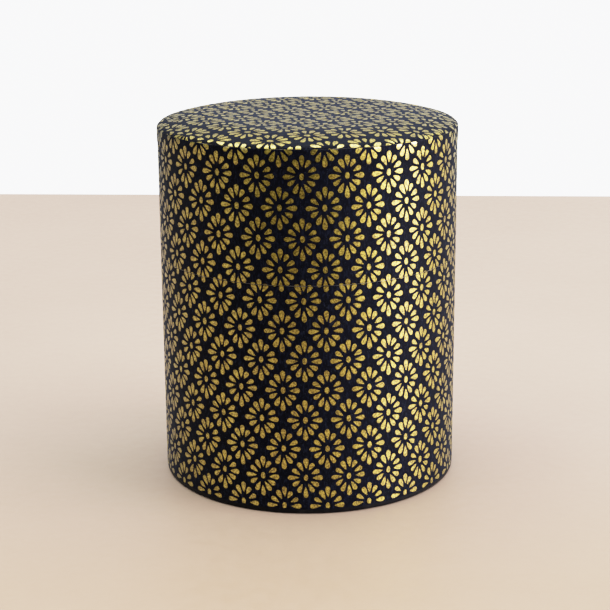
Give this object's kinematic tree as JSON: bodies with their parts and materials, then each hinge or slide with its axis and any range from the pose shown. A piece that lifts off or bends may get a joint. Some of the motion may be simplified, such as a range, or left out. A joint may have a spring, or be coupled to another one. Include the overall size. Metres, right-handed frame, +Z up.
{
  "type": "tea caddy",
  "caption": "Round paper-covered tinplate tea caddy with a lift-off domed lid, an inner neck and a knobbed drop-in inner lid that keeps dry tea leaf fresh.",
  "frame": {"origin": "centre of the underside, on the plane of the foot bead that the caddy stands on", "axes": "+Z up along the caddy's axis; the flower pattern's front faces -Y and the paper's lap joint is at +Y"},
  "size_m": [0.0772, 0.0772, 0.0948],
  "materials": {
    "tinplate": "satin",
    "lacquered_tinplate": "satin",
    "patterned_paper": "matte",
    "polished_steel": "polished"
  },
  "bodies": {
    "can": {"can_wall": "tinplate", "base_plate": "lacquered_tinplate", "neck_sleeve": "tinplate", "body_wrap": "patterned_paper"},
    "inner_lid": {"inner_lid_dish": "tinplate", "inner_lid_knob": "polished_steel", "knob_washer": "tinplate", "knob_rivet": "polished_steel"},
    "lid": {"lid_wall": "tinplate", "lid_crown": "tinplate", "lid_side_wrap": "patterned_paper", "lid_top_wrap": "patterned_paper"}
  },
  "joints": [
    {"name": "inner_lid_lift", "type": "slide", "parent": "can", "child": "inner_lid", "axis": [0, 0, 1], "range_m": [0, 0.03]},
    {"name": "lid_lift", "type": "slide", "parent": "inner_lid", "child": "lid", "axis": [0, 0, 1], "range_m": [0, 0.05]}
  ]
}
